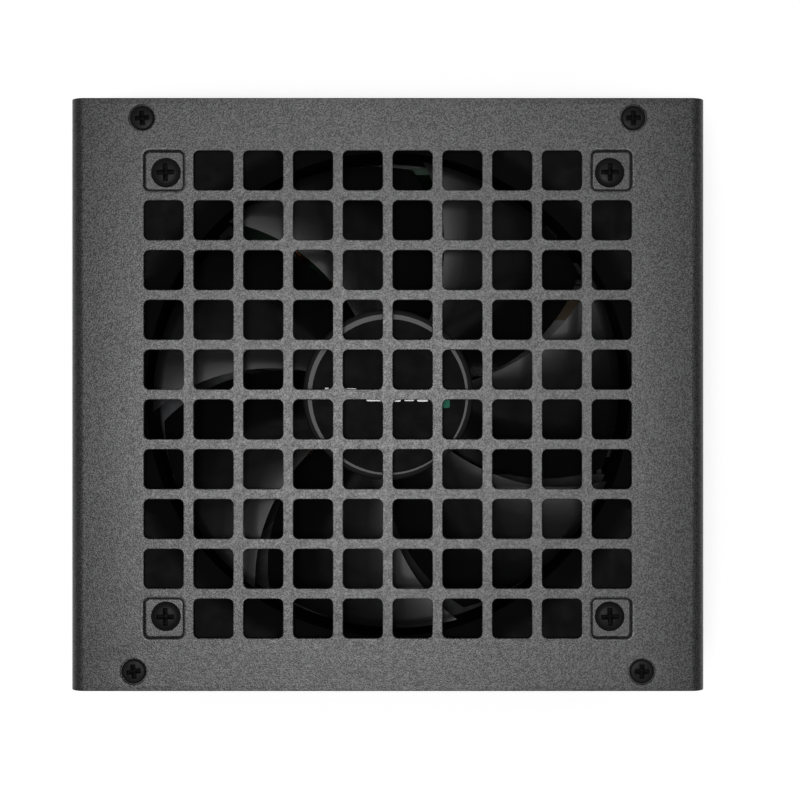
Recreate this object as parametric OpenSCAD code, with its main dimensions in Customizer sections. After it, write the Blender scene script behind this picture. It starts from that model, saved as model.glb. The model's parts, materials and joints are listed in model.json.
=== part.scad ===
// Modular desktop power supply in the standard 150 x 86 mm outline, built from separate parts.
// X runs across the width, Y along the depth and Z up; sizes are in millimetres.
// The origin is the centre of the base face. The mains panel faces -Y, the output
// panel faces +Y, and the fan draws air in through the grille in the top, +Z.

/* [Casing] */
// Width of the casing
case_w = 150; // [150:1:158]
// Depth of the casing
case_d = 140; // [140:1:160]
// Height of the casing
case_h = 86; // [86:1:96]
// Thickness of the sheet steel
sheet = 0.8; // [0.7:0.1:1]
// Outside radius of the cover's two long bends
bend_r = 3.3; // [2.5:0.1:4]

/* [Grille] */
// Square holes in each row and each column
grille_n = 10; // [8:1:11]
// Width of the bars between the holes
grille_bar = 2.45; // [2:0.05:3]
// Corner radius of a hole
grille_corner_r = 1.25; // [0.5:0.05:2]
// Depth of the sunk corner cells that take the fan screws
recess_depth = 1.5; // [1.2:0.1:2]

/* [Vent] */
// Distance between opposite sides of a hexagonal hole
vent_hole = 6.2; // [4:0.1:6.6]
// Width of the web between two hexagonal holes
vent_web = 1.4; // [1:0.1:2]

/* [Fan] */
// Side of the fan's square frame
fan_size = 120; // [114:1:120]
// Height of the fan's frame
fan_h = 25; // [25:1:28]
// Number of blades
blade_count = 7; // [5:1:9]
// Radius of the rotor's hub
hub_r = 20.5; // [20:0.1:22]

/* [Mains panel] */
// Centre of the mains inlet from the middle of the panel
inlet_x = 38; // [36:1:41]
// Centre of the rocker switch from the middle of the panel
switch_x = -6; // [-10:1:-4]
// Height of the inlet and the switch above the base
mains_z = 24; // [23:0.5:26]
// Tilt of the rocker to either side of level
rocker_tilt = 12; // [8:1:12]

/* [Output panel] */
// Height of the lower row of sockets
lower_row_z = 24; // [20:1:26]
// Height of the upper row of sockets
upper_row_z = 42; // [40:1:46]
// Gap between two sockets
socket_gap = 4; // [3:0.5:5]

/* [Hidden] */
$fn = 64;

// Casing
half_w = case_w / 2;
half_d = case_d / 2;
under_top = case_h - sheet;
fit_gap = 0.1;
tray_half_w = half_w - sheet - fit_gap;
tray_top = under_top - fit_gap;
tray_bend_r = 2 * sheet;
tray_flange = 8.6;
side_flange_h = 12;
cover_bottom = 0.6;

// Grille, centred on the fan
screw_spacing = 0.875 * fan_size;
recess_shift = 0.375;
grille_pitch = (screw_spacing + 2 * recess_shift) / (grille_n - 1);
grille_hole = grille_pitch - grille_bar;
recess_at = grille_pitch * (grille_n - 1) / 2;

// Screws
cover_screw_r = 2.95;
cover_screw_shank_r = 1.45;
fan_screw_r = 3.5;
fan_screw_shank_r = 2.1;
fan_hole_r = 2.15;
cover_screw_at = [
    [17 - half_w, half_d - 4.7], [half_w - 17, half_d - 4.7],
    [15 - half_w, 4.6 - half_d], [half_w - 15, 4.6 - half_d]
];
mount_thread_r = 1.42;
mount_thread_length = 2.4;
mount_at = [
    [6 - half_w, case_h - 6], [half_w - 6, case_h - 16],
    [half_w - 6, 6], [30 - half_w, 6]
];

// Fan
fan_top = case_h - recess_depth - sheet;
fan_bottom = fan_top - fan_h;
duct_r = fan_size / 2 - 2;
mouth_r = fan_size / 2 + 5;
hub_top = fan_top - 3;
hub_bottom = fan_bottom + 4.2;
hub_face_r = hub_r - 1.3;
label_r = hub_face_r - 0.8;
motor_base_r = hub_r + 0.5;
shaft_r = 1.5;
bush_r = 2.95;
tube_r = 4;
blade_root = hub_r - 0.3;
blade_tip = duct_r - 1.6;
blade_lead_z = hub_top - 1;
blade_drop = fan_h - 8.2;
blade_rows = 6;
blade_cols = 7;

// Mains panel
inlet_screw_at = 20;
inlet_cavity = [24.4, 16.8];
inlet_front = -half_d - 2.5;
inlet_back = inlet_front + 19.5;
pin_drop = -1.8;
earth_rise = 2.4;
pin_at = 7;
rocker_pivot_y = 0.4 - half_d;
rocker_pin_r = 1.2;

// Board and sockets
board_top = 7.4;
board_half_w = half_w - 7;
board_front = 6 - half_d;
board_back = half_d - 16;
standoff_at = [
    for (sx = [-1, 1], y = [board_front + 5, board_back - 7]) [sx * (half_w - 12), y]
];
socket_pitch = 4.2;
socket_cell = 3.5;
socket_h = 2 * socket_pitch + 1.2;
socket_back = half_d - 12.4;
socket_front = half_d + 0.6;
lower_row = [24, 8, 8];
upper_row = [8, 8, 6, 6, 6];

// Routes of the wires, corner by corner
wire_r = 1.3;
live_route = [
    [inlet_x - pin_at, 25.1 - half_d, mains_z + pin_drop],
    [inlet_x - pin_at, 28 - half_d, mains_z + pin_drop],
    [inlet_x - 11, 30 - half_d, mains_z + 2],
    [17, 31 - half_d, mains_z + 6.5],
    [4, 30.5 - half_d, mains_z + 6.5],
    [switch_x, 27.5 - half_d, mains_z + 4.5],
    [switch_x, 24.1 - half_d, mains_z + 4.5]
];
switched_route = [
    [switch_x, 24.1 - half_d, mains_z - 4.5],
    [switch_x, 26.5 - half_d, mains_z - 4.5],
    [1, 27.5 - half_d, 17.5],
    [6, 24 - half_d, 14.5],
    [8, 18 - half_d, 10.5],
    [8, 18 - half_d, board_top + 0.15]
];
neutral_route = [
    [inlet_x + pin_at, 25.1 - half_d, mains_z + pin_drop],
    [inlet_x + pin_at, 27.5 - half_d, mains_z + pin_drop],
    [49, 30 - half_d, 18],
    [52, 28 - half_d, 11.5],
    [52, 28 - half_d, board_top + 0.15]
];
earth_route = [
    [inlet_x, 25.1 - half_d, mains_z + earth_rise],
    [inlet_x, 28 - half_d, mains_z + earth_rise],
    [44, 31 - half_d, 29],
    [56, 27 - half_d, 31],
    [half_w - 10, 18 - half_d, 31],
    [half_w - 9, 11 - half_d, 30],
    [half_w - 9, 7.35 - half_d, 30]
];
lead_r = 0.7;
lead_route = [
    [-12, 3, fan_bottom + 3.5],
    [-12, 3, fan_bottom + 0.5],
    [-16, 4, fan_bottom - 1.5],
    [-30, 6, fan_bottom - 2],
    [-48, 9, fan_bottom - 2],
    [-61, 12, fan_bottom - 4],
    [-65, 14, fan_bottom - 12],
    [-65, 14, 30],
    [-64, 14, 18.5]
];

// ---------- shared shapes ----------

// Rectangle about the origin with true round corners
module rounded_rectangle(w, h, r) {
    square([w, h - 2 * r], center = true);
    square([w - 2 * r, h], center = true);
    for (sx = [-1, 1], sy = [-1, 1])
        translate([sx * (w / 2 - r), sy * (h / 2 - r)])
            circle(r);
}

// Upright block standing on z, rounded at its four upright edges
module rounded_block(size, r, at) {
    translate(at)
        linear_extrude(size[2])
            rounded_rectangle(size[0], size[1], r);
}

// Upright block given by its low and high corners
module block(low, high) {
    translate(low)
        cube(high - low);
}

// Outline of the cover across X and Z, with its top corners rounded
module cover_outline(half, top, r, bottom) {
    translate([-half, bottom])
        square([2 * half, top - r - bottom]);
    translate([r - half, bottom])
        square([2 * (half - r), top - bottom]);
    for (s = [-1, 1])
        translate([s * (half - r), top - r])
            circle(r);
}

// Turns an outline drawn across X and Z into a solid with its depth along Y
module along_y(from, to) {
    translate([0, to, 0])
        rotate([90, 0, 0])
            linear_extrude(to - from)
                children();
}

// Cylinder along Y from one depth to another
module rod_y(r, from, to, x, z, r2 = -1) {
    translate([x, from, z])
        rotate([-90, 0, 0])
            cylinder(h = to - from, r1 = r, r2 = r2 < 0 ? r : r2);
}

// Ring about Z with a rectangular section
module ring(inner, outer, from, to, sweep = 360) {
    rotate_extrude(angle = sweep)
        translate([inner, from])
            square([outer - inner, to - from]);
}

// Cross recess for a screw head, cut downwards from z = 0
module cross_recess(length, width, depth) {
    for (turn = [0, 90])
        rotate(turn)
            translate([-length / 2, -width / 2, -depth])
                cube([length, width, depth + 1]);
}

module at_corners(distance) {
    for (sx = [-1, 1], sy = [-1, 1])
        translate([sx * distance, sy * distance, 0])
            children();
}

// Smooth curve through a route's corners
function route_point(p, i, t) =
    let (
        before = p[max(i - 1, 0)],
        here = p[i],
        next = p[i + 1],
        after = p[min(i + 2, len(p) - 1)]
    )
    0.5 * (2 * here + (next - before) * t
        + (2 * before - 5 * here + 4 * next - after) * t * t
        + (3 * here - before - 3 * next + after) * t * t * t);
function curve(p, steps) = concat(
    [for (i = [0:len(p) - 2], k = [0:steps - 1]) route_point(p, i, k / steps)],
    [p[len(p) - 1]]
);
function unit(v) = v / norm(v);

// Round tube along a route; side is a direction that the route never runs along.
// Its end faces are square to the route's first and last stretches.
module tube(route, r, side, shift = [0, 0, 0], steps = 3, sides = 10) {
    path = curve(route, steps);
    last = len(path) - 1;
    corners = len(route);
    points = [
        for (i = [0:last])
        let (
            along = i == 0 ? route[1] - route[0]
                : i == last ? route[corners - 1] - route[corners - 2]
                : path[i + 1] - path[i - 1],
            t = unit(along),
            u = unit(cross(t, side)),
            v = cross(t, u)
        )
        for (k = [0:sides - 1])
        path[i] + shift + r * (cos(360 * k / sides) * u + sin(360 * k / sides) * v)
    ];
    walls = [
        for (i = [0:last - 1], k = [0:sides - 1])
        let (a = i * sides + k, b = i * sides + (k + 1) % sides)
        each [[a, b, b + sides], [a, b + sides, a + sides]]
    ];
    ends = [
        for (k = [1:sides - 2])
        each [[0, k + 1, k], [last * sides, last * sides + k, last * sides + k + 1]]
    ];
    polyhedron(points = points, faces = concat(walls, ends));
}

// ---------- casing ----------

module grille_cells() {
    for (i = [0:grille_n - 1], j = [0:grille_n - 1])
        if (!((i == 0 || i == grille_n - 1) && (j == 0 || j == grille_n - 1)))
            translate([i * grille_pitch - recess_at, j * grille_pitch - recess_at])
                rounded_rectangle(grille_hole, grille_hole, grille_corner_r);
}

module recess_cup() {
    translate([0, 0, fan_top])
        linear_extrude(under_top - fan_top + sheet / 2)
            rounded_rectangle(
                grille_hole + 2 * sheet, grille_hole + 2 * sheet, grille_corner_r + sheet);
}

module recess_pocket() {
    translate([0, 0, case_h - recess_depth])
        linear_extrude(recess_depth + 1)
            rounded_rectangle(grille_hole, grille_hole, grille_corner_r);
}

module countersink(at) {
    translate([at[0], at[1], under_top])
        cylinder(h = sheet, r1 = cover_screw_r + 0.1 - sheet, r2 = cover_screw_r + 0.1);
}

// The cover is one folded sheet: this is its perforated top, as far as the two bends
module top_cover() {
    color("#5c5e60")
    difference() {
        union() {
            block(
                [bend_r - half_w, -half_d, under_top], [half_w - bend_r, half_d, case_h]);
            at_corners(recess_at)
                recess_cup();
        }
        translate([0, 0, under_top - 1])
            linear_extrude(sheet + 2)
                grille_cells();
        at_corners(recess_at)
            recess_pocket();
        at_corners(screw_spacing / 2)
            translate([0, 0, fan_top - 1])
                cylinder(h = sheet + 2, r = fan_hole_r);
        for (at = cover_screw_at)
            countersink(at);
    }
}

// The rest of the folded sheet: a bend and a side wall at either end of its top
module cover_sides() {
    color("#5c5e60")
    along_y(-half_d, half_d)
        difference() {
            cover_outline(half_w, case_h, bend_r, cover_bottom);
            cover_outline(half_w - sheet, under_top, bend_r - sheet, -1);
            translate([bend_r - half_w, 0])
                square([2 * (half_w - bend_r), case_h + 1]);
        }
}

// Staggered field of hexagonal holes across X and Z, clear of the mount holes and
// of the corner that holds the switch and the inlet
module vent_field(left, right, low, high) {
    step = vent_hole + vent_web;
    rise = step * sqrt(3) / 2;
    columns = floor((right - left) / step);
    rows = floor((high - low) / rise);
    for (row = [0:rows], column = [0:columns])
        let (
            x = left + column * step + (row % 2) * step / 2,
            z = low + row * rise,
            clear = min([for (m = mount_at) norm([x, z] - m)]),
            beside = x < switch_x - 7.5 - vent_hole,
            above = z > mains_z + 11.5 + vent_hole
        )
        if (x <= right && clear > vent_hole / 2 + 4 && (beside || above))
            translate([x, z])
                rotate(30)
                    circle(r = vent_hole / sqrt(3), $fn = 6);
}

module tray_sheet() {
    rotate([90, 0, 90])
        linear_extrude(2 * tray_half_w, center = true)
            difference() {
                translate([0, tray_top / 2])
                    rounded_rectangle(case_d, tray_top, tray_bend_r);
                translate([0, tray_top / 2])
                    rounded_rectangle(
                        case_d - 2 * sheet, tray_top - 2 * sheet, tray_bend_r - sheet);
                translate([tray_flange - half_d, tray_top - 2 * sheet])
                    square([case_d - 2 * tray_flange, 4 * sheet]);
            }
}

module mains_cutouts() {
    along_y(-half_d - 1, sheet + 1 - half_d) {
        translate([inlet_x, mains_z])
            rounded_rectangle(28.6, 20.6, 1);
        translate([switch_x, mains_z])
            square([13, 19], center = true);
        vent_field(8 - half_w, half_w - 8, 11, case_h - 9);
    }
    for (s = [-1, 1])
        rod_y(1.65, -half_d - 1, 4 - half_d, inlet_x + s * inlet_screw_at, mains_z);
    for (m = mount_at)
        rod_y(mount_thread_r, -half_d - 1, 4 - half_d, m[0], m[1]);
}

module output_cutouts() {
    along_y(half_d - sheet - 1, half_d + 1) {
        each_socket(lower_row, lower_row_z)
            socket_window($ways);
        each_socket(upper_row, upper_row_z)
            socket_window($ways);
    }
}

module chassis_base() {
    color("#56585a")
    difference() {
        union() {
            intersection() {
                tray_sheet();
                along_y(-half_d, half_d)
                    cover_outline(tray_half_w, tray_top, bend_r - sheet - fit_gap, 0);
            }
            for (s = [-1, 1])
                block(
                    [s * (tray_half_w - sheet / 2) - sheet / 2, tray_bend_r - half_d, 0],
                    [s * (tray_half_w - sheet / 2) + sheet / 2, half_d - tray_bend_r,
                        side_flange_h]);
            for (m = mount_at)
                rod_y(2.6, sheet / 2 - half_d, mount_thread_length - half_d, m[0], m[1]);
            for (s = [-1, 1])
                rod_y(2.8, sheet / 2 - half_d, 2.4 - half_d,
                    inlet_x + s * inlet_screw_at, mains_z);
        }
        mains_cutouts();
        output_cutouts();
        for (at = cover_screw_at)
            translate([at[0], at[1], tray_top - 2])
                cylinder(h = 3, r = 1.6);
    }
}

module cover_screws() {
    color("#2c2d2f")
    for (i = [0:3])
        translate([cover_screw_at[i][0], cover_screw_at[i][1], 0])
            difference() {
                union() {
                    translate([0, 0, under_top - 0.05])
                        cylinder(
                            h = sheet, r1 = cover_screw_r - sheet, r2 = cover_screw_r);
                    translate([0, 0, case_h - 7])
                        cylinder(h = 6.5, r = cover_screw_shank_r);
                }
                translate([0, 0, case_h])
                    rotate(20 + 50 * i)
                        cross_recess(3.4, 0.8, 0.6);
            }
}

module fan_screws() {
    color("#2c2d2f")
    for (i = [0:3])
        rotate(90 * i)
            translate([screw_spacing / 2, screw_spacing / 2, 0])
                difference() {
                    union() {
                        rotate_extrude()
                            polygon([
                                [0, case_h - recess_depth],
                                [fan_screw_r, case_h - recess_depth],
                                [fan_screw_r, case_h - recess_depth + 0.7],
                                [fan_screw_r - 0.8, case_h - 0.1],
                                [0, case_h - 0.1]
                            ]);
                        translate([0, 0, fan_top - 9])
                            cylinder(h = 10, r = fan_screw_shank_r);
                    }
                    translate([0, 0, case_h - 0.1])
                        rotate(35 * i + 5)
                            cross_recess(4, 0.9, 0.9);
                }
}

// ---------- fan ----------

module fan_duct_hollow() {
    translate([0, 0, fan_bottom - 1])
        cylinder(h = fan_h + 2, r = duct_r, $fn = 128);
    intersection() {
        translate([0, 0, fan_top - 3.7])
            cylinder(h = 3.8, r1 = duct_r, r2 = mouth_r + 0.2, $fn = 128);
        translate([0, 0, fan_top - 2])
            cube([fan_size - 3, fan_size - 3, 6], center = true);
    }
}

module fan_flange(z) {
    rounded_block([fan_size, fan_size, 3.5], 4, [0, 0, z]);
}

module fan_motor_mount() {
    cylinder_from(motor_base_r, fan_bottom, fan_bottom + 2.5);
    cylinder_from(tube_r, fan_bottom, fan_bottom + 15.3);
    for (turn = [45:90:315])
        rotate(turn)
            block([motor_base_r - 1, -2, fan_bottom], [duct_r + 1, 2, fan_bottom + 3]);
}

module cylinder_from(r, low, high) {
    translate([0, 0, low])
        cylinder(h = high - low, r = r);
}

module fan_frame() {
    color("#17181a")
    difference() {
        union() {
            difference() {
                union() {
                    fan_flange(fan_bottom);
                    fan_flange(fan_top - 3.5);
                    translate([0, 0, fan_bottom])
                        cylinder(h = fan_h, r = fan_size / 2 - 0.2, $fn = 128);
                }
                fan_duct_hollow();
            }
            fan_motor_mount();
        }
        at_corners(screw_spacing / 2)
            cylinder_from(fan_hole_r, fan_bottom - 1, fan_top + 1);
        cylinder_from(bush_r + 0.05, fan_bottom + 1.3, fan_top);
        translate([-12, 3, fan_bottom - 1])
            cylinder(h = 4, r = 2);
    }
}

function lead_angle(r) = 12.5 + 0.45 * (r - 27.6) + 0.0054 * pow(r - 27.6, 2);
function blade_wrap(r) = 51 - 2 * (r - blade_root) / (blade_tip - blade_root);
function blade_half(r, s) =
    (1.1 - 0.5 * (r - blade_root) / (blade_tip - blade_root)) * (0.3 + 0.7 * sin(180 * s));

// Point of a blade: i counts outwards from the hub, j from the leading edge back
function blade_point(i, j, side) =
    let (
        r = blade_root + (blade_tip - blade_root) * i / blade_rows,
        s = j / blade_cols,
        a = lead_angle(r) - blade_wrap(r) * s,
        z = blade_lead_z - 0.5 - blade_drop * s * (0.45 + 0.55 * s)
    )
    [r * cos(a), r * sin(a), z + side * blade_half(r, s)];

module fan_blade() {
    per_side = (blade_rows + 1) * (blade_cols + 1);
    points = [
        for (side = [1, -1], i = [0:blade_rows], j = [0:blade_cols]) blade_point(i, j, side)
    ];
    upper = [
        for (i = [0:blade_rows - 1], j = [0:blade_cols - 1])
        let (a = i * (blade_cols + 1) + j, b = a + blade_cols + 1)
        each [[a, b, b + 1], [a, b + 1, a + 1]]
    ];
    lower = [for (f = upper) [f[2] + per_side, f[1] + per_side, f[0] + per_side]];
    rim = concat(
        [for (i = [0:blade_rows - 1]) i * (blade_cols + 1)],
        [for (j = [0:blade_cols - 1]) blade_rows * (blade_cols + 1) + j],
        [for (i = [blade_rows:-1:1]) i * (blade_cols + 1) + blade_cols],
        [for (j = [blade_cols:-1:1]) j]
    );
    edges = [
        for (k = [0:len(rim) - 1])
        let (a = rim[k], b = rim[(k + 1) % len(rim)])
        each [[b, a, a + per_side], [b, a + per_side, b + per_side]]
    ];
    polyhedron(points = points, faces = concat(upper, lower, edges));
}

module fan_hub() {
    rotate_extrude($fn = 96)
        polygon([
            [0, hub_top], [hub_face_r, hub_top], [hub_r, hub_top - 1.3],
            [hub_r, hub_bottom], [hub_r - 2.5, hub_bottom], [hub_r - 2.5, hub_top - 2.3],
            [3.2, hub_top - 2.3], [3.2, hub_top - 4.5], [shaft_r + 0.02, hub_top - 4.5],
            [shaft_r + 0.02, hub_top - 1.8], [0, hub_top - 1.8]
        ]);
}

module fan_rotor() {
    color("#1d1f21")
    union() {
        fan_hub();
        for (k = [0:blade_count - 1])
            rotate(360 * k / blade_count)
                fan_blade();
    }
}

module rotor_yoke() {
    color("silver")
    ring(hub_r - 3.3, hub_r - 2.55, hub_bottom + 0.3, hub_top - 2.4);
}

module fan_magnet_ring() {
    color("#3a3634")
    ring(hub_r - 6.2, hub_r - 3.35, hub_bottom + 1.1, hub_top - 3.6);
}

module fan_shaft() {
    color("silver")
    cylinder_from(shaft_r, fan_bottom + 1.6, hub_top - 1.85);
}

module fan_label() {
    color("#101113")
    translate([0.2, -0.35, hub_top])
        cylinder(h = 0.15, r = label_r, $fn = 96);
}

module fan_bearing() {
    color("#b08d57")
    ring(shaft_r + 0.05, bush_r, fan_bottom + 2.3, fan_bottom + 14.8);
}

module fan_stator_core() {
    color("#8a8d90")
    translate([0, 0, fan_bottom + 6.3])
        linear_extrude(7)
            difference() {
                union() {
                    circle(6.5);
                    for (turn = [0, 90])
                        rotate(turn)
                            square([25, 3.2], center = true);
                    difference() {
                        circle(13.5);
                        circle(11.5);
                        for (turn = [45, 135])
                            rotate(turn)
                                square([30, 2.4], center = true);
                    }
                }
                circle(tube_r + 0.05);
            }
}

module fan_stator_coils() {
    color("#b5622c")
    for (turn = [0:90:270])
        rotate(turn)
            difference() {
                block([7, -3.6, fan_bottom + 5.2], [10.7, 3.6, fan_bottom + 14.4]);
                block([6, -1.65, fan_bottom + 6.25], [12, 1.65, fan_bottom + 13.35]);
            }
}

module fan_circuit_board() {
    color("#1f5a36")
    difference() {
        cylinder_from(15, fan_bottom + 3.5, fan_bottom + 4.5);
        cylinder_from(tube_r + 0.3, fan_bottom, fan_bottom + 6);
    }
}

// Two insulated strands side by side
module fan_lead() {
    color("#1a1a1a")
    for (s = [-1, 1])
        tube(lead_route, lead_r, [0, 1, 0.02], [0, 0.8 * s, 0], 4, 8);
}

module fan_connector() {
    color("#73706a")
    union() {
        difference() {
            block([-67, 11, board_top], [-61, 17, 13]);
            block([-66.2, 11.8, board_top + 1], [-61.8, 16.2, 14]);
        }
        block([-66, 12, 8.6], [-62, 16, 18.5]);
    }
}

// ---------- mains inlet and switch ----------

// Outline of the inlet's body across X and Z, with its two upper corners cut off
module inlet_outline(w, h, cut) {
    polygon([
        [-w / 2, -h / 2], [w / 2, -h / 2], [w / 2, h / 2 - cut],
        [w / 2 - cut, h / 2], [cut - w / 2, h / 2], [-w / 2, h / 2 - cut]
    ]);
}

module inlet_pin_tools(grow) {
    for (p = [[-pin_at, pin_drop], [pin_at, pin_drop], [0, earth_rise]])
        translate([inlet_x + p[0], mains_z + p[1]])
            square([2 + grow, 4 + grow], center = true);
}

module inlet_housing() {
    color("#141414")
    difference() {
        union() {
            along_y(inlet_front, -half_d)
                translate([inlet_x, mains_z])
                    rounded_rectangle(50, 22.5, 4);
            along_y(-half_d, inlet_back)
                translate([inlet_x, mains_z])
                    inlet_outline(27.8, 19.8, 4.2);
        }
        along_y(inlet_front - 1, inlet_back - 2.5)
            translate([inlet_x, mains_z])
                inlet_outline(inlet_cavity[0], inlet_cavity[1], 4);
        along_y(inlet_back - 3, inlet_back + 1)
            inlet_pin_tools(0.1);
        for (s = [-1, 1]) {
            rod_y(1.65, inlet_front - 1, 1 - half_d, inlet_x + s * inlet_screw_at, mains_z);
            rod_y(3.2, inlet_front, inlet_front + 1.6,
                inlet_x + s * inlet_screw_at, mains_z, 1.6);
        }
    }
}

module inlet_pins() {
    color("#c9b37a")
    union() {
        along_y(inlet_front + 3, inlet_back + 1)
            inlet_pin_tools(0);
        for (p = [[-pin_at, pin_drop], [pin_at, pin_drop], [0, earth_rise]])
            block(
                [inlet_x + p[0] - 0.4, inlet_back + 0.05, mains_z + p[1] - 2.4],
                [inlet_x + p[0] + 0.4, 25 - half_d, mains_z + p[1] + 2.4]);
    }
}

module inlet_screws() {
    color("#2c2d2f")
    for (s = [-1, 1])
        translate([inlet_x + s * inlet_screw_at, 0, mains_z])
            difference() {
                union() {
                    rod_y(3.1, inlet_front + 0.05, inlet_front + 1.6, 0, 0, 1.55);
                    rod_y(1.55, inlet_front + 1.5, 5 - half_d, 0, 0);
                }
                translate([0, inlet_front + 0.05, 0])
                    rotate([90, 25, 0])
                        cross_recess(3.2, 0.8, 0.8);
            }
}

module switch_housing() {
    color("#141414")
    difference() {
        union() {
            along_y(-half_d - 1.8, -half_d)
                translate([switch_x, mains_z])
                    rounded_rectangle(15, 21, 1);
            along_y(-half_d, 16 - half_d)
                translate([switch_x, mains_z])
                    square([12.6, 18.6], center = true);
        }
        along_y(-half_d - 3, 8 - half_d)
            translate([switch_x, mains_z])
                square([10.2, 17.1], center = true);
        translate([switch_x - 6.1, rocker_pivot_y, mains_z])
            rotate([0, 90, 0])
                cylinder(h = 12.2, r = rocker_pin_r + 0.05);
        for (s = [-1, 1])
            block(
                [switch_x - 2.45, 14 - half_d, mains_z + 4.5 * s - 0.45],
                [switch_x + 2.45, 17 - half_d, mains_z + 4.5 * s + 0.45]);
    }
}

// The rocker rests with its lower end pressed in, which is off
module switch_rocker() {
    color("#101010")
    translate([switch_x, rocker_pivot_y, mains_z])
        rotate([rocker_tilt, 0, 0])
            union() {
                rotate([90, 0, -90])
                    linear_extrude(9.8, center = true)
                        polygon([
                            [3.5, -7.7], [2, 0], [3.5, 7.7], [0.8, 8],
                            [-3, 5], [-3, -5], [0.8, -8]
                        ]);
                rotate([0, 90, 0])
                    cylinder(h = 11.8, r = rocker_pin_r, center = true);
            }
}

module switch_terminals() {
    color("silver")
    for (s = [-1, 1])
        block(
            [switch_x - 2.4, 14.1 - half_d, mains_z + 4.5 * s - 0.4],
            [switch_x + 2.4, 24 - half_d, mains_z + 4.5 * s + 0.4]);
}

module live_wire() {
    color("#6b4a2f")
    tube(live_route, wire_r, [0, 0, 1]);
}

module switched_live_wire() {
    color("#161616")
    tube(switched_route, wire_r, [1, 0, 0.3]);
}

module neutral_wire() {
    color("#2f5fa8")
    tube(neutral_route, wire_r, [1, 0, 0.3]);
}

module earth_wire() {
    color("#3f8a3a")
    tube(earth_route, wire_r, [0, 0, 1]);
}

// Welded stud with its nut and the wire's ring terminal
module earth_stud() {
    color("silver")
    union() {
        rod_y(1.5, sheet - half_d, 7.2 - half_d, half_w - 9, 30);
        translate([half_w - 9, 4.5 - half_d, 30])
            rotate([90, 0, 0])
                cylinder(h = 2.4, r = 3.1, $fn = 6);
        rod_y(3.4, sheet - half_d, sheet + 0.9 - half_d, half_w - 9, 30);
    }
}

// ---------- board and its parts ----------

module main_board() {
    color("#1d5733")
    difference() {
        block([-board_half_w, board_front, 5.8], [board_half_w, board_back, board_top]);
        for (at = standoff_at)
            translate([at[0], at[1], 5])
                cylinder(h = 4, r = 1.6);
    }
}

module board_standoffs() {
    color("#c9b37a")
    for (at = standoff_at)
        translate([at[0], at[1], sheet])
            difference() {
                cylinder(h = 5.8 - sheet, r = 3.175, $fn = 6);
                translate([0, 0, 0.6])
                    cylinder(h = 6, r = 1.3);
            }
}

module board_screws() {
    color("silver")
    for (at = standoff_at)
        translate([at[0], at[1], board_top])
            difference() {
                union() {
                    cylinder(h = 1.8, r1 = 3, r2 = 2.2);
                    translate([0, 0, -5])
                        cylinder(h = 6, r = 1.25);
                }
                translate([0, 0, 1.8])
                    cross_recess(3, 0.8, 1);
            }
}

module insulation_sheet() {
    color("#3d3a33")
    difference() {
        block([5 - half_w, 4 - half_d, sheet], [half_w - 5, half_d - 4, sheet + 0.3]);
        for (at = standoff_at)
            translate([at[0], at[1], 0])
                cylinder(h = 3, r = 3.5);
    }
}

// A toroid choke is placed by its centre and sized by its winding's outer radius
module at_chokes(kind) {
    places = kind == "mains" ? [[-48, 34 - half_d], [-20, 34 - half_d]]
        : kind == "pfc" ? [[-13, -6]] : [[-20, half_d - 36], [-50, half_d - 36]];
    for (at = places)
        translate([at[0], at[1], 0])
            children();
}

module choke_core(outer, height) {
    ring(outer * 0.42, outer * 0.85, 10.4, 6.4 + height);
}

module choke_winding(outer, height, sweep) {
    difference() {
        ring(outer * 0.3, outer, 8.4, 8.4 + height, sweep);
        translate([0, 0, -0.1])
            ring(outer * 0.42 - 0.1, outer * 0.85 + 0.1, 10.4, 6.6 + height);
    }
}

module choke_cores() {
    color("#6d7a3c")
    union() {
        at_chokes("mains")
            choke_core(12.5, 13);
        at_chokes("pfc")
            choke_core(16, 16);
        at_chokes("output")
            choke_core(13, 13);
    }
}

module common_mode_windings() {
    color("#b5622c")
    at_chokes("mains")
        for (turn = [20, 200])
            rotate(turn)
                choke_winding(12.5, 13, 140);
}

module pfc_winding() {
    color("#b5622c")
    at_chokes("pfc")
        rotate(120)
            choke_winding(16, 16, 310);
}

module output_choke_windings() {
    color("#b5622c")
    at_chokes("output")
        rotate(100)
            choke_winding(13, 13, 320);
}

module x_capacitors() {
    color("#33383f")
    union() {
        rounded_block([26.5, 10, 19], 1, [-44, 16 - half_d, board_top]);
        rounded_block([13, 6, 12], 0.8, [-21.5, 13 - half_d, board_top]);
    }
}

module fuse() {
    color("#d9dadb")
    translate([0, 12 - half_d, 10.5])
        rotate([0, 90, 0])
            union() {
                translate([0, 0, -14])
                    cylinder(h = 5.5, r = 2.6);
                translate([0, 0, -9])
                    cylinder(h = 10, r = 2.4);
                translate([0, 0, 0.5])
                    cylinder(h = 5.5, r = 2.6);
            }
}

module inrush_thermistor() {
    color("#23402f")
    union() {
        translate([12, 18 - half_d, 16.4])
            rotate([0, 90, 0])
                cylinder(h = 4, r = 6.5);
        for (s = [-1, 1])
            translate([14, 18 - half_d + 3 * s, board_top])
                cylinder(h = 6, r = 0.5);
    }
}

module bridge_rectifier() {
    color("#1b1b1b")
    union() {
        block([27, 37 - half_d, 14], [49, 41.4 - half_d, 33]);
        for (i = [0:3])
            block([29.5 + 5 * i, 39 - half_d, board_top], [30.7 + 5 * i, 40 - half_d, 14.5]);
    }
}

// Plate across X with upright fins on its -Y or +Y face
module finned_plate(left, right, y, thickness, fin, pitch, low, high) {
    translate([0, 0, low])
        linear_extrude(high - low)
            union() {
                translate([left, y])
                    square([right - left, thickness]);
                for (x = [left:pitch:right - 1.2])
                    translate([x, fin < 0 ? y + fin : y])
                        square([1.2, abs(fin) + (fin < 0 ? thickness : 0)]);
            }
}

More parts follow.
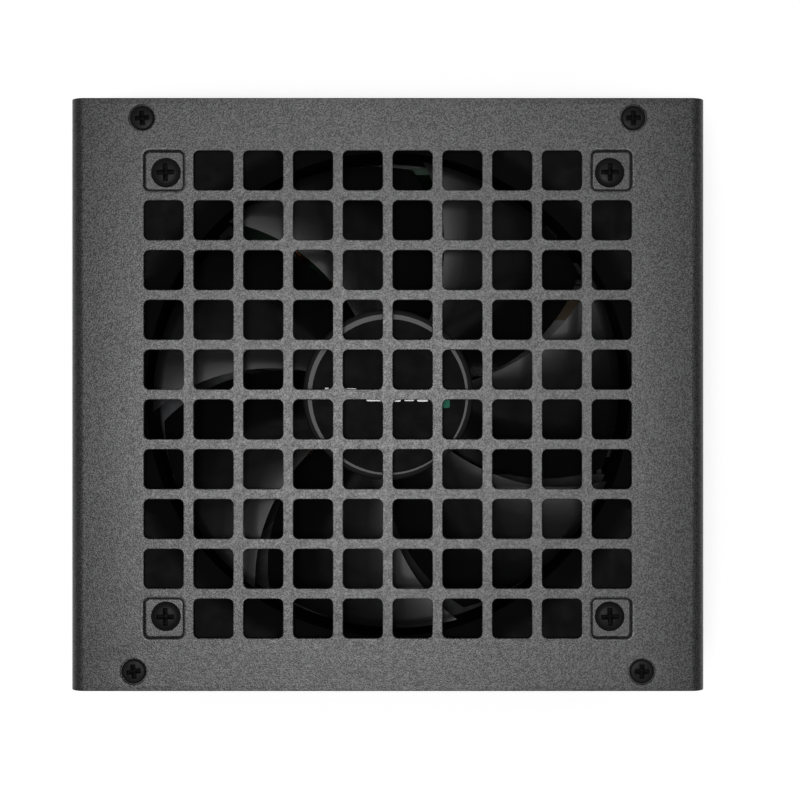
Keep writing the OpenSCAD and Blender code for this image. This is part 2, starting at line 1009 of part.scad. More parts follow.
module rectifier_heatsink() {
    color("#1c1c1e")
    finned_plate(19, 57, 41.5 - half_d, 2.5, 4.5, 6.1, board_top, 46);
}

module bulk_capacitor() {
    color("#16181c")
    translate([-48, -6, board_top])
        rotate_extrude()
            polygon([
                [0, 0], [14.4, 0], [15, 0.8], [15, 3], [14.2, 3.8], [14.2, 4.6], [15, 5.4],
                [15, 44], [14.2, 45], [13, 45], [13, 44.6], [0, 44.6]
            ]);
}

module primary_heatsink() {
    color("#1c1c1e")
    difference() {
        finned_plate(8, 66, -16, 3, -5, 5.68, board_top, 50);
        for (x = [18, 38, 58])
            rod_y(1.3, -17, -12, x, 29.5);
    }
}

// Package with a metal tab, its back against the plane y
module power_package(x, y, low) {
    union() {
        block([x - 5, y, low], [x + 5, y + 4.4, low + 9.2]);
        block([x - 5, y, low + 9], [x + 5, y + 1.3, low + 15.6]);
        for (i = [-1:1])
            block([x + 2.54 * i - 0.4, y + 2, board_top], [x + 2.54 * i + 0.4, y + 2.6, low + 1]);
    }
}

module primary_transistors() {
    color("#1b1b1b")
    for (x = [18, 38, 58])
        difference() {
            power_package(x, -12.95, 17.5);
            rod_y(1.6, -14, -11, x, 29.5);
        }
}

module transistor_screws() {
    color("silver")
    for (x = [18, 38, 58])
        union() {
            rod_y(2.8, -11.6, -9.8, x, 29.5);
            rod_y(1.25, -15.9, -10, x, 29.5);
        }
}

module transformer_core() {
    color("#3b3c3e")
    translate([40, 12, 8])
        difference() {
            rounded_block([40, 15, 36], 1, [0, 0, 0]);
            for (s = [-1, 1])
                block([s * 10 - 4, -9, 6], [s * 10 + 4, 9, 30]);
        }
}

module transformer_winding() {
    color("#54421c")
    translate([40, 12, 0])
        difference() {
            rounded_block([27.4, 26, 23.4], 3, [0, 0, 14.3]);
            block([-6.2, -7.8, 13], [6.2, 7.8, 40]);
        }
}

module standby_transformer() {
    color("#54421c")
    union() {
        rounded_block([13, 14, 11], 2, [5, 17, board_top + 2]);
        block([-3.5, 14.5, board_top], [13.5, 19.5, board_top + 15]);
    }
}

module secondary_heatsink() {
    color("#1c1c1e")
    difference() {
        finned_plate(12, 62, half_d - 39, 3, 8, 5.42, board_top, 50);
        for (x = [22, 37, 52])
            rod_y(1.3, half_d - 40, half_d - 35, x, 29.5);
    }
}

module secondary_rectifiers() {
    color("#1b1b1b")
    for (x = [22, 37, 52])
        translate([x, half_d - 39.05, 0])
            rotate(180)
                power_package(0, 0, 17.5);
}

module output_capacitors() {
    color("#2b3f73")
    for (x = [0:11:55])
        translate([x, half_d - 25, board_top])
            rotate_extrude()
                polygon([
                    [0, 0], [4.7, 0], [5, 0.5], [5, 2], [4.7, 2.5], [5, 3],
                    [5, 19.4], [4.5, 20], [0, 20]
                ]);
}

module control_board() {
    color("#1d5733")
    union() {
        block([-34, 12.2, board_top], [-8, 13.8, board_top + 28]);
        block([-31, 13.7, 14], [-23, 15.3, 20]);
        block([-20, 13.7, 22], [-11, 15.3, 28]);
        block([-29, 10.8, 24], [-23, 12.3, 29]);
    }
}

// ---------- output sockets ----------

function socket_w(ways) = ways / 2 * socket_pitch + 1.2;
function row_w(row, count) =
    count == 0 ? 0 : row_w(row, count - 1) + socket_w(row[count - 1]) + socket_gap;
function socket_x(row, i) =
    row_w(row, i) + socket_w(row[i]) / 2 - (row_w(row, len(row)) - socket_gap) / 2;

// Puts its children at the sockets first to last of a row, in the plane of X and Z
module each_socket(row, z, first = 0, last = -1) {
    for (i = [first:last < 0 ? len(row) - 1 : last])
        let ($ways = row[i])
        translate([socket_x(row, i), z])
            children();
}

module socket_window(ways) {
    square([socket_w(ways) + 0.8, socket_h + 0.8], center = true);
    translate([-3, 0])
        square([6, socket_h / 2 + 1.9]);
}

module socket_cells(ways, size) {
    for (i = [0:ways / 2 - 1], s = [-1, 1])
        translate([(i - (ways / 2 - 1) / 2) * socket_pitch, s * socket_pitch / 2])
            square([size, size], center = true);
}

module socket_bodies(row, z, first, last) {
    difference() {
        union() {
            along_y(socket_back, socket_front)
                each_socket(row, z, first, last)
                    square([socket_w($ways), socket_h], center = true);
            along_y(half_d - 3, half_d - 0.2)
                each_socket(row, z, first, last)
                    translate([-2.2, socket_h / 2 - 0.5])
                        square([4.4, 1.9]);
        }
        along_y(socket_back + 1.2, socket_front + 1)
            each_socket(row, z, first, last)
                socket_cells($ways, socket_cell);
        along_y(socket_back - 1, socket_back + 2)
            each_socket(row, z, first, last)
                socket_cells($ways, 1.2);
    }
}

module socket_board() {
    color("#1d5733")
    block([-52, socket_back - 1.6, 10], [52, socket_back, 54]);
}

module socket_motherboard() {
    color("#141414")
    socket_bodies(lower_row, lower_row_z, 0, 0);
}

module sockets_processor_graphics() {
    color("#141414")
    union() {
        socket_bodies(lower_row, lower_row_z, 1, 2);
        socket_bodies(upper_row, upper_row_z, 0, 1);
    }
}

module sockets_drives() {
    color("#141414")
    socket_bodies(upper_row, upper_row_z, 2, 4);
}

module socket_contacts() {
    color("#c9b37a")
    along_y(socket_back, half_d - 3) {
        each_socket(lower_row, lower_row_z)
            socket_cells($ways, 1);
        each_socket(upper_row, upper_row_z)
            socket_cells($ways, 1);
    }
}

// Folded copper straps from the main board to the socket board
module busbars() {
    color("#b87333")
    for (x = [-44:22:44])
        union() {
            block([x - 3, board_back - 2.6, board_top], [x + 3, board_back - 1.4, 14]);
            block([x - 3, board_back - 2.6, 12.8], [x + 3, socket_back - 1.6, 14]);
        }
}

// Smoked film under the rear third of the fan that steers the air forward
module air_guide_film() {
    color("#2a2a2c")
    difference() {
        block([-58, -60, fan_bottom - 0.5], [58, -20, fan_bottom - 0.1]);
        for (s = [-1, 1])
            translate([s * screw_spacing / 2, -screw_spacing / 2, fan_bottom - 2])
                cylinder(h = 4, r = fan_hole_r);
    }
}

module film_rivets() {
    color("#73706a")
    for (s = [-1, 1])
        translate([s * screw_spacing / 2, -screw_spacing / 2, 0])
            union() {
                cylinder_from(3.6, fan_bottom - 1.5, fan_bottom - 0.5);
                cylinder_from(2.05, fan_bottom - 1, fan_bottom + 4.5);
            }
}

chassis_base();
top_cover();
cover_sides();
cover_screws();
fan_screws();
fan_frame();
fan_rotor();
rotor_yoke();
fan_magnet_ring();
fan_shaft();
fan_label();
fan_bearing();
fan_stator_core();
fan_stator_coils();
fan_circuit_board();
fan_lead();
fan_connector();
inlet_housing();
inlet_pins();
inlet_screws();
switch_housing();
switch_rocker();
switch_terminals();
live_wire();
switched_live_wire();
neutral_wire();
earth_wire();
earth_stud();
main_board();
board_standoffs();
board_screws();
insulation_sheet();
choke_cores();
common_mode_windings();
pfc_winding();
output_choke_windings();
x_capacitors();
fuse();
inrush_thermistor();
bridge_rectifier();
rectifier_heatsink();
bulk_capacitor();
primary_heatsink();
primary_transistors();
transistor_screws();
transformer_core();
transformer_winding();
standby_transformer();
secondary_heatsink();
secondary_rectifiers();
output_capacitors();
control_board();
socket_board();
socket_motherboard();
sockets_processor_graphics();
sockets_drives();
socket_contacts();
busbars();
air_guide_film();
film_rivets();
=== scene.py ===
import json
import math

import bmesh
import bpy
from mathutils import Matrix, Vector


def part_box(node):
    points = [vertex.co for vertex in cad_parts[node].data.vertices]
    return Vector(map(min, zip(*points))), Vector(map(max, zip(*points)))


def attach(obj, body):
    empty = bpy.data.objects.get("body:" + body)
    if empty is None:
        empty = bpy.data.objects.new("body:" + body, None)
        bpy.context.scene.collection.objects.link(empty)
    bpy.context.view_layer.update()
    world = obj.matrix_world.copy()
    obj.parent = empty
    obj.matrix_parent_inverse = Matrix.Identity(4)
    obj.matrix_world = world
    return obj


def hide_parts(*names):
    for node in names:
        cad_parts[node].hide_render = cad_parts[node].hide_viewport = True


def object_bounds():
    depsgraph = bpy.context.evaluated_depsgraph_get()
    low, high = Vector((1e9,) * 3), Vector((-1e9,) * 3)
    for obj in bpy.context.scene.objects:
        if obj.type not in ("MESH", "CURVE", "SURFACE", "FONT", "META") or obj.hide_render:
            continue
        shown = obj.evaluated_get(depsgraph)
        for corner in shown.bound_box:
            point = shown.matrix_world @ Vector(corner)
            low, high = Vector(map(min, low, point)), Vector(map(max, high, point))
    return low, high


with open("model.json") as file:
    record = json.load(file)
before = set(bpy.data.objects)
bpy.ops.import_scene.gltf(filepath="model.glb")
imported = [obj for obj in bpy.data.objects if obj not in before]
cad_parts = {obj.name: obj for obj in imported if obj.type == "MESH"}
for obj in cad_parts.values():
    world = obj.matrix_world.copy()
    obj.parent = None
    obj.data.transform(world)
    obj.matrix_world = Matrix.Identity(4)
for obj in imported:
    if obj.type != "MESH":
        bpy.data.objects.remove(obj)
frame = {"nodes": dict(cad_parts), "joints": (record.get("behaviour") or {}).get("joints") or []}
cad_low, cad_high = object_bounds()

MM = 0.001

# Sizes in millimetres, and angles in degrees, that the boxes of the frame don't give.
# Sheet metal, with the grille's cells and the four sunk ones at its corners
SHEET = 0.8
PUNCHED_EDGE = 0.16
COVER_BEND = 3.3
COVER_SCREWS = [(-58, 65.3), (58, 65.3), (-60, -65.4), (60, -65.4)]
COVER_HOLE = 3.1
GRILLE_COUNT = 10
GRILLE_PITCH = 11.75
GRILLE_HOLE = 9.3
GRILLE_CORNER = 1.25
RECESS_DEPTH = 1.5
RECESS_ROLL = 0.5
UNDERSIDE_ROLL = 0.4

# Fan and its screws
FAN_SCREW_AT = 52.5
FAN_SCREW_HEAD = 1.4
FAN_HOLE = 2.15
HUB = 20.5
HUB_WALL = 2.5
HUB_HEIGHT = 17.8
BORE = 1.52
BLADES = 7
BLADE_ROOT = 20.0
BLADE_DROP = 16.8

# A blade's leading edge lies at an angle that grows with the radius beyond LEAD_FROM, and the blade
# wraps back from it by ROOT_WRAP at the hub and by WRAP_TAPER less at the tip
LEAD_FROM = 27.6
LEAD_ANGLE = 12.5
LEAD_SLOPE = 0.45
LEAD_CURL = 0.0054
ROOT_WRAP = 51
WRAP_TAPER = 2

# How far the label's marks stand proud; the rocker's tilt at rest, and its faces' distance from its
# pivot and slope
MARK_HEIGHT = 0.02
ROCKER_TILT = 12
ROCKER_RISE = 2
ROCKER_SLOPE = 1.5 / 7.7


def box_mm(node):
    """Lowest and highest corner of a CAD node, in millimetres."""
    low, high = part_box(node)
    return low / MM, high / MM


# ---------------------------------------------------------------- materials


def shader_of(mat):
    return mat.node_tree.nodes["Principled BSDF"]


def new_material(name, colour, roughness, **inputs):
    """Material with one principled shader; extra inputs are set on its own sockets."""
    mat = bpy.data.materials.new(name)
    mat.use_nodes = True
    shader = shader_of(mat)
    shader.inputs["Base Color"].default_value = (*colour, 1)
    shader.inputs["Roughness"].default_value = roughness
    for socket, value in inputs.items():
        shader.inputs[socket.replace("_", " ")].default_value = value
    return mat


def add_node(mat, kind, **inputs):
    """Shader node with values set on its input sockets."""
    node = mat.node_tree.nodes.new(kind)
    for socket, value in inputs.items():
        node.inputs[socket.replace("_", " ")].default_value = value
    return node


def join(mat, output, target):
    mat.node_tree.links.new(output, target)


def coords(mat, stretch=(1, 1, 1)):
    """Object coordinates in metres, scaled along each axis."""
    place = add_node(mat, "ShaderNodeTexCoord")
    scale = add_node(mat, "ShaderNodeMapping", Scale=stretch)
    join(mat, place.outputs["Object"], scale.inputs["Vector"])
    return scale.outputs["Vector"]


def noise(mat, where, per_metre, detail=2.0):
    """Cloudy noise from 0 to 1."""
    node = add_node(mat, "ShaderNodeTexNoise", Scale=per_metre, Detail=detail)
    join(mat, where, node.inputs["Vector"])
    return node.outputs["Fac"]


def cells(mat, where, per_metre, feature="F1"):
    """Distance to the nearest of many scattered points."""
    node = add_node(mat, "ShaderNodeTexVoronoi", Scale=per_metre)
    node.feature = feature
    join(mat, where, node.inputs["Vector"])
    return node.outputs["Distance"]


def spread(mat, factor, low, high, to_low, to_high):
    """Maps factor from low..high to to_low..to_high."""
    node = add_node(mat, "ShaderNodeMapRange")
    limits = {"From Min": low, "From Max": high, "To Min": to_low, "To Max": to_high}
    for socket, value in limits.items():
        node.inputs[socket].default_value = value
    join(mat, factor, node.inputs["Value"])
    return node.outputs["Result"]


def blend_colours(mat, factor, low, high, dark, light):
    """Colour between dark and light as factor goes from low to high."""
    node = add_node(mat, "ShaderNodeValToRGB")
    node.color_ramp.elements[0].position = low
    node.color_ramp.elements[1].position = high
    node.color_ramp.elements[0].color = (*dark, 1)
    node.color_ramp.elements[1].color = (*light, 1)
    join(mat, factor, node.inputs["Fac"])
    return node.outputs["Color"]


def set_colour(mat, output):
    join(mat, output, shader_of(mat).inputs["Base Color"])


def set_roughness(mat, output):
    join(mat, output, shader_of(mat).inputs["Roughness"])


def add_bump(mat, height, strength, depth_mm):
    """Bumps of a height output, on the shader's normal."""
    node = add_node(mat, "ShaderNodeBump", Strength=strength, Distance=depth_mm * MM)
    join(mat, height, node.inputs["Height"])
    join(mat, node.outputs["Normal"], shader_of(mat).inputs["Normal"])


def shade(colour, factor):
    """Colour made darker or lighter."""
    return tuple(min(1.0, c * factor) for c in colour)


def powder_coat(name, colour):
    """Textured powder coat: fine grains, a slow mottle and a soft sheen."""
    mat = new_material(name, colour, 0.5)
    where = coords(mat)
    grain = noise(mat, where, 3600, 0.6)
    low, high = 0.36, 0.64
    set_colour(mat, blend_colours(mat, grain, low, high, shade(colour, 0.2), shade(colour, 1.9)))
    join(mat, spread(mat, grain, low, high, 0.35, 0.66), shader_of(mat).inputs["Specular IOR Level"])
    set_roughness(mat, spread(mat, noise(mat, where, 700), 0.3, 0.7, 0.38, 0.45))
    add_bump(mat, grain, 0.6, 0.05)
    return mat


def moulded(name, colour, roughness, grain=1500, depth_mm=0.02, **inputs):
    """Moulded plastic with a fine spark-eroded grain and slight flow marks."""
    mat = new_material(name, colour, roughness, **inputs)
    where = coords(mat)
    flow = noise(mat, where, 60, 3.0)
    set_colour(mat, blend_colours(mat, flow, 0.3, 0.7, shade(colour, 0.8), shade(colour, 1.2)))
    set_roughness(mat, spread(mat, noise(mat, where, 250), 0.3, 0.7, roughness - 0.06, roughness + 0.06))
    add_bump(mat, noise(mat, where, grain, 2.0), 0.25, depth_mm)
    return mat


def impeller_plastic(name, colour):
    """Black plastic, matt on the hub's face and polished on the blades."""
    mat = moulded(name, colour, 0.25, 900, 0.004, Specular_IOR_Level=0.95)
    radius = add_node(mat, "ShaderNodeVectorMath")
    radius.operation = "LENGTH"
    join(mat, coords(mat, (1, 1, 0)), radius.inputs[0])
    set_roughness(mat, spread(mat, radius.outputs["Value"], 0.0200, 0.0206, 0.62, 0.25))
    return mat


def brushed(name, colour, roughness, stretch=(40, 2500, 2500)):
    """Bare or plated metal with fine drawing marks along X."""
    mat = new_material(name, colour, roughness, Metallic=1.0)
    streaks = noise(mat, coords(mat, stretch), 1.0, 4.0)
    set_colour(mat, blend_colours(mat, streaks, 0.3, 0.7, shade(colour, 0.78), shade(colour, 1.08)))
    set_roughness(mat, spread(mat, streaks, 0.3, 0.7, roughness - 0.08, roughness + 0.1))
    add_bump(mat, streaks, 0.2, 0.01)
    return mat


def stone_like(name, colour, roughness, per_metre, contrast=0.35):
    """Pressed or sintered powder with pores and light specks."""
    mat = new_material(name, colour, roughness)
    where = coords(mat)
    specks = cells(mat, where, per_metre)
    set_colour(mat, blend_colours(mat, specks, 0.1, 0.8,
                                  shade(colour, 1 + contrast), shade(colour, 1 - contrast)))
    add_bump(mat, noise(mat, where, per_metre * 1.5, 4.0), 0.4, 0.04)
    return mat


def circuit_laminate(name):
    """Green solder mask over woven glass, with darker areas where there's no copper."""
    # The green is set darker than a real solder mask's, as painted shade for the unlit inside of the
    # case.
    green = (0.006, 0.032, 0.014)
    mat = new_material(name, green, 0.5, Specular_IOR_Level=0.12)
    where = coords(mat)
    copper = cells(mat, where, 160, "SMOOTH_F1")
    set_colour(mat, blend_colours(mat, copper, 0.28, 0.34, shade(green, 1.5), shade(green, 0.7)))
    weave = add_node(mat, "ShaderNodeTexWave", Scale=900, Distortion=0.6)
    join(mat, where, weave.inputs["Vector"])
    add_bump(mat, weave.outputs["Fac"], 0.15, 0.02)
    return mat


def wire_enamel(name):
    """Enamelled copper wire: metal under a warm clear coat."""
    copper = (0.20, 0.062, 0.022)
    mat = new_material(name, copper, 0.4, Metallic=0.8, Coat_Weight=0.3, Coat_Roughness=0.25)
    tint = noise(mat, coords(mat), 220, 2.0)
    set_colour(mat, blend_colours(mat, tint, 0.3, 0.7, shade(copper, 0.7), shade(copper, 1.15)))
    return mat


def wrapped_tape(name, colour):
    """Film tape wound in layers, with the edge of each layer just showing."""
    mat = new_material(name, colour, 0.45, Specular_IOR_Level=0.15)
    where = coords(mat)
    layers = add_node(mat, "ShaderNodeTexWave", Scale=120, Distortion=1.5)
    layers.bands_direction = "Z"
    join(mat, where, layers.inputs["Vector"])
    set_colour(mat, blend_colours(mat, layers.outputs["Fac"], 0.1, 0.9, shade(colour, 0.82), colour))
    add_bump(mat, layers.outputs["Fac"], 0.3, 0.05)
    return mat


def see_through(name, colour, alpha):
    """Clear or smoked plastic or glass."""
    mat = moulded(name, colour, 0.45, 900, 0.01, Alpha=alpha, Specular_IOR_Level=0.1)
    mat.surface_render_method = "BLENDED"
    return mat


MATERIALS = {
    "cover": powder_coat("cover_powder_coat", (0.020, 0.0203, 0.0208)),
    "chassis": powder_coat("chassis_powder_coat", (0.0185, 0.0188, 0.0193)),
    "screw": moulded("black_oxide_steel", (0.009, 0.009, 0.0095), 0.42, 900, 0.004,
                     Specular_IOR_Level=0.06),
    "steel": brushed("zinc_plated_steel", (0.62, 0.62, 0.60), 0.28),
    "frame": moulded("fan_frame_plastic", (0.0026, 0.0026, 0.0028), 0.5, Specular_IOR_Level=0.02),
    "rotor": impeller_plastic("rotor_plastic", (0.003, 0.0031, 0.0034)),
    "label": moulded("label_film", (0.0028, 0.0028, 0.003), 0.5, 1200, 0.008, Specular_IOR_Level=0.02),
    "mark_white": moulded("mark_white_ink", (0.86, 0.86, 0.85), 0.5, 1200, 0.004),
    "mark_green": moulded("mark_green_ink", (0.004, 0.10, 0.06), 0.5, 1200, 0.004,
                          Specular_IOR_Level=0.1),
    # Several materials below are for parts inside the case. Their base colours, such as the laminate's,
    # the nylon's, the tape's and the fibre sheet's, are set darker than the real parts' as painted shade
    # for the unlit inside under the fan.
    "magnet": stone_like("bonded_ferrite", (0.022, 0.020, 0.019), 0.6, 900),
    "bronze": stone_like("sintered_bronze", (0.42, 0.26, 0.10), 0.4, 1400, 0.2),
    "lamination": brushed("steel_laminations", (0.14, 0.145, 0.15), 0.4, (80, 80, 2800)),
    "enamel": wire_enamel("enamelled_copper"),
    "copper": brushed("bare_copper", (0.72, 0.33, 0.18), 0.3),
    "board": circuit_laminate("circuit_laminate"),
    "black": moulded("black_housing_plastic", (0.010, 0.010, 0.011), 0.42),
    "gloss": moulded("black_rocker_plastic", (0.008, 0.008, 0.009), 0.2, 500, 0.006),
    "white": moulded("natural_nylon", (0.10, 0.098, 0.09), 0.5, Specular_IOR_Level=0.15),
    "contact": brushed("plated_contact", (0.66, 0.58, 0.36), 0.25, (2000, 60, 2000)),
    "brown_wire": moulded("brown_insulation", (0.075, 0.032, 0.014), 0.38),
    "black_wire": moulded("black_insulation", (0.009, 0.009, 0.009), 0.38),
    "blue_wire": moulded("blue_insulation", (0.012, 0.05, 0.22), 0.38),
    "green_wire": moulded("green_insulation", (0.015, 0.12, 0.02), 0.38),
    "ferrite": stone_like("ferrite_core", (0.020, 0.020, 0.022), 0.5, 700),
    "powder_core": stone_like("coated_powder_core", (0.03, 0.04, 0.012), 0.5, 500, 0.15),
    "film_case": moulded("film_capacitor_case", (0.012, 0.014, 0.018), 0.5, Specular_IOR_Level=0.1),
    "tape": wrapped_tape("polyester_tape", (0.05, 0.03, 0.007)),
    "glass": see_through("fuse_glass", (0.75, 0.77, 0.76), 0.5),
    "thermistor": moulded("thermistor_coating", (0.010, 0.035, 0.018), 0.35, 700, 0.04),
    "epoxy": moulded("epoxy_package", (0.009, 0.009, 0.009), 0.55, 1800, 0.02),
    "heatsink": moulded("black_anodised_aluminium", (0.007, 0.007, 0.0075), 0.45, 900, 0.01,
                        Specular_IOR_Level=0.1),
    "black_sleeve": moulded("black_sleeve", (0.006, 0.007, 0.010), 0.4, 300, 0.02,
                            Specular_IOR_Level=0.12),
    "blue_sleeve": moulded("blue_sleeve", (0.006, 0.012, 0.055), 0.4, 300, 0.02,
                           Specular_IOR_Level=0.12),
    "fibre": moulded("fibre_sheet", (0.05, 0.045, 0.032), 0.7, 900, 0.03, Specular_IOR_Level=0.1),
    "film": see_through("smoked_film", (0.006, 0.006, 0.0065), 0.6),
}


# ---------------------------------------------------------------- mesh tools


def piece_from(name, verts, faces, material, smooth_angle=32):
    """Object in metres from vertices in millimetres."""
    mesh = bpy.data.meshes.new(name)
    mesh.from_pydata([tuple(c * MM for c in v) for v in verts], [], faces)
    return piece_from_mesh(name, mesh, material, smooth_angle)


def piece_from_mesh(name, mesh, material, smooth_angle=32):
    mesh.validate()
    obj = bpy.data.objects.new(name, mesh)
    bpy.context.scene.collection.objects.link(obj)
    mesh.materials.clear()
    mesh.materials.append(MATERIALS[material])
    smooth(obj, smooth_angle)
    return obj


def smooth(obj, angle):
    """Smooth shading, with edges over the angle kept sharp."""
    mesh = obj.data
    mesh.polygons.foreach_set("use_smooth", [True] * len(mesh.polygons))
    mesh.set_sharp_from_angle(angle=math.radians(angle))


def evaluated_mesh(obj):
    """The object's mesh with its modifiers applied; the object itself is removed."""
    graph = bpy.context.evaluated_depsgraph_get()
    graph.update()
    mesh = bpy.data.meshes.new_from_object(obj.evaluated_get(graph))
    bpy.data.objects.remove(obj)
    return mesh


def keep_flat_faces_flat(obj):
    weighted = obj.modifiers.new("face_weighted_normals", "WEIGHTED_NORMAL")
    weighted.keep_sharp = True


def round_edges(obj, width_mm, segments=2):
    """Rounds every hard edge a little, as moulding, punching or plating leaves it."""
    weld = obj.modifiers.new("weld", "WELD")
    weld.merge_threshold = 0.002 * MM
    bevel = obj.modifiers.new("edges", "BEVEL")
    bevel.width = width_mm * MM
    bevel.segments = segments
    bevel.limit_method = "ANGLE"
    bevel.angle_limit = math.radians(35)
    bevel.use_clamp_overlap = True
    bevel.harden_normals = False
    keep_flat_faces_flat(obj)


def arc(cx, cy, r, start, end, steps):
    """Points on an arc, in degrees, both ends included."""
    angles = [math.radians(start + (end - start) * i / steps) for i in range(steps + 1)]
    return [(cx + r * math.cos(a), cy + r * math.sin(a)) for a in angles]


def rounded_square(half_w, half_h, r, steps=5, at=(0, 0)):
    """Counter-clockwise outline with round corners."""
    loop = []
    corners = [(1, 1, 0), (-1, 1, 90), (-1, -1, 180), (1, -1, 270)]
    for sx, sy, start in corners:
        cx = at[0] + sx * (half_w - r)
        cy = at[1] + sy * (half_h - r)
        loop += arc(cx, cy, r, start, start + 90, steps)
    return loop


def loft(loops, close_start=False, close_end=False):
    """Vertices and faces of a skin through loops that have equal numbers of points."""
    count = len(loops[0])
    verts = [p for loop in loops for p in loop]
    faces = []
    for k in range(len(loops) - 1):
        for i in range(count):
            a, b = k * count + i, k * count + (i + 1) % count
            faces.append((a, b, b + count, a + count))
    if close_start:
        faces.append(tuple(reversed(range(count))))
    if close_end:
        faces.append(tuple(range((len(loops) - 1) * count, len(loops) * count)))
    return verts, faces


def lathe(profile, steps=64, at=(0, 0, 0)):
    """Skin of a profile of (radius, z) turned about Z, with its ends closed."""
    loops = []
    for r, z in profile:
        ring = [math.tau * i / steps for i in range(steps)]
        loops.append([(at[0] + r * math.cos(a), at[1] + r * math.sin(a), at[2] + z) for a in ring])
    return loft(loops, True, True)


def join_parts(parts):
    """One list of vertices and faces from several."""
    verts, faces = [], []
    for part_verts, part_faces in parts:
        shift = len(verts)
        verts += part_verts
        faces += [tuple(i + shift for i in face) for face in part_faces]
    return verts, faces


def add_polyline(curve, places, closed):
    """Adds a line through places, each of (x, y, z), to a curve."""
    spline = curve.splines.new("POLY")
    spline.points.add(len(places) - 1)
    spline.use_cyclic_u = closed
    for point, place in zip(spline.points, places):
        point.co = (*place, 1)


def mesh_of_curve(curve):
    """Mesh of a curve's bevelled or filled shape."""
    holder = bpy.data.objects.new(curve.name, curve)
    bpy.context.scene.collection.objects.link(holder)
    return evaluated_mesh(holder)


def wire(name, path, radius, material):
    """Round wire along a path, all in millimetres."""
    curve = bpy.data.curves.new(name, "CURVE")
    curve.dimensions = "3D"
    curve.bevel_depth = radius
    curve.bevel_resolution = 2
    curve.use_fill_caps = True
    add_polyline(curve, path, False)
    mesh = mesh_of_curve(curve)
    mesh.transform(Matrix.Scale(MM, 4))
    return piece_from_mesh(name, mesh, material, 60)


def join_objects(objects):
    """Merges objects of one material into the first."""
    bm = bmesh.new()
    for obj in objects:
        bm.from_mesh(obj.data)
    keep = objects[0]
    bm.to_mesh(keep.data)
    bm.free()
    for obj in objects[1:]:
        bpy.data.objects.remove(obj)
    return keep


def outward(obj):
    """Turns every face's normal outwards."""
    bm = bmesh.new()
    bm.from_mesh(obj.data)
    bmesh.ops.recalc_face_normals(bm, faces=bm.faces[:])
    bm.to_mesh(obj.data)
    bm.free()
    return obj


def stand_for(obj, body, slot, *nodes):
    """Puts a piece on its body in the place of one or more CAD nodes."""
    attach(obj, body)
    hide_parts(*nodes)


# ---------------------------------------------------------------- sheet metal


def cut_sheet(name, outline, holes, thickness, edge):
    """Flat sheet in millimetres about z = 0, with softened cut edges."""
    curve = bpy.data.curves.new(name, "CURVE")
    curve.dimensions = "2D"
    curve.fill_mode = "BOTH"
    curve.extrude = thickness / 2 - edge
    curve.bevel_depth = edge
    curve.bevel_resolution = 1
    curve.offset = -edge
    for loop in [outline] + [list(reversed(hole)) for hole in holes]:
        add_polyline(curve, [(x, y, 0) for x, y in loop], True)
    return mesh_of_curve(curve)


class BentPath:
    """Centre line of a folded sheet: straight runs and quarter bends, in a plane."""

    def __init__(self, start, heading, parts):
        """parts holds ("run", length) and ("bend", radius), each bend turning clockwise."""
        self.pieces = []
        place, angle, along = Vector(start), math.radians(heading), 0.0
        for kind, size in parts:
            length = size if kind == "run" else size * math.pi / 2
            self.pieces.append((kind, size, along, length, place.copy(), angle))
            if kind == "run":
                place = place + size * Vector((math.cos(angle), math.sin(angle)))
            else:
                centre = place + size * Vector((math.sin(angle), -math.cos(angle)))
                angle -= math.pi / 2
                place = centre + size * Vector((-math.sin(angle), math.cos(angle)))
            along += length
        self.length = along

    def at(self, along, out):
        """Point at a distance along the sheet and a height out of it."""
        for kind, size, start, length, place, angle in self.pieces:
            if along <= start + length + 1e-6:
                break
        step = along - start
        if kind == "run":
            tangent = Vector((math.cos(angle), math.sin(angle)))
            normal = Vector((-math.sin(angle), math.cos(angle)))
            return place + tangent * step + normal * out
        centre = place + size * Vector((math.sin(angle), -math.cos(angle)))
        turned = angle - step / size
        return centre + (size + out) * Vector((-math.sin(turned), math.cos(turned)))

    def bend_cuts(self, per_bend=6):
        """Distances at which the flat sheet is cut across, so that its bends come out round."""
        cuts = []
        for kind, _, start, length, _, _ in self.pieces:
            if kind == "bend":
                cuts += [start + length * k / per_bend for k in range(per_bend + 1)]
        return cuts


def fold(mesh, path, place):
    """Folds a flat sheet whose X is the distance along path; place(point, y) sets it in space."""
    bm = bmesh.new()
    bm.from_mesh(mesh)
    for cut in path.bend_cuts():
        everything = bm.verts[:] + bm.edges[:] + bm.faces[:]
        bmesh.ops.bisect_plane(bm, geom=everything, plane_co=(cut, 0, 0), plane_no=(1, 0, 0))
    for vert in bm.verts:
        vert.co = place(path.at(vert.co.x, vert.co.z), vert.co.y)
    bmesh.ops.remove_doubles(bm, verts=bm.verts[:], dist=0.001)
    bmesh.ops.recalc_face_normals(bm, faces=bm.faces[:])
    bm.to_mesh(mesh)
    bm.free()


def grille_cells():
    """Centre of each cell of the grille, with True for the four corner cells."""
    ends = (0, GRILLE_COUNT - 1)
    for i in range(GRILLE_COUNT):
        for j in range(GRILLE_COUNT):
            x = (i - (GRILLE_COUNT - 1) / 2) * GRILLE_PITCH
            y = (j - (GRILLE_COUNT - 1) / 2) * GRILLE_PITCH
            yield x, y, i in ends and j in ends


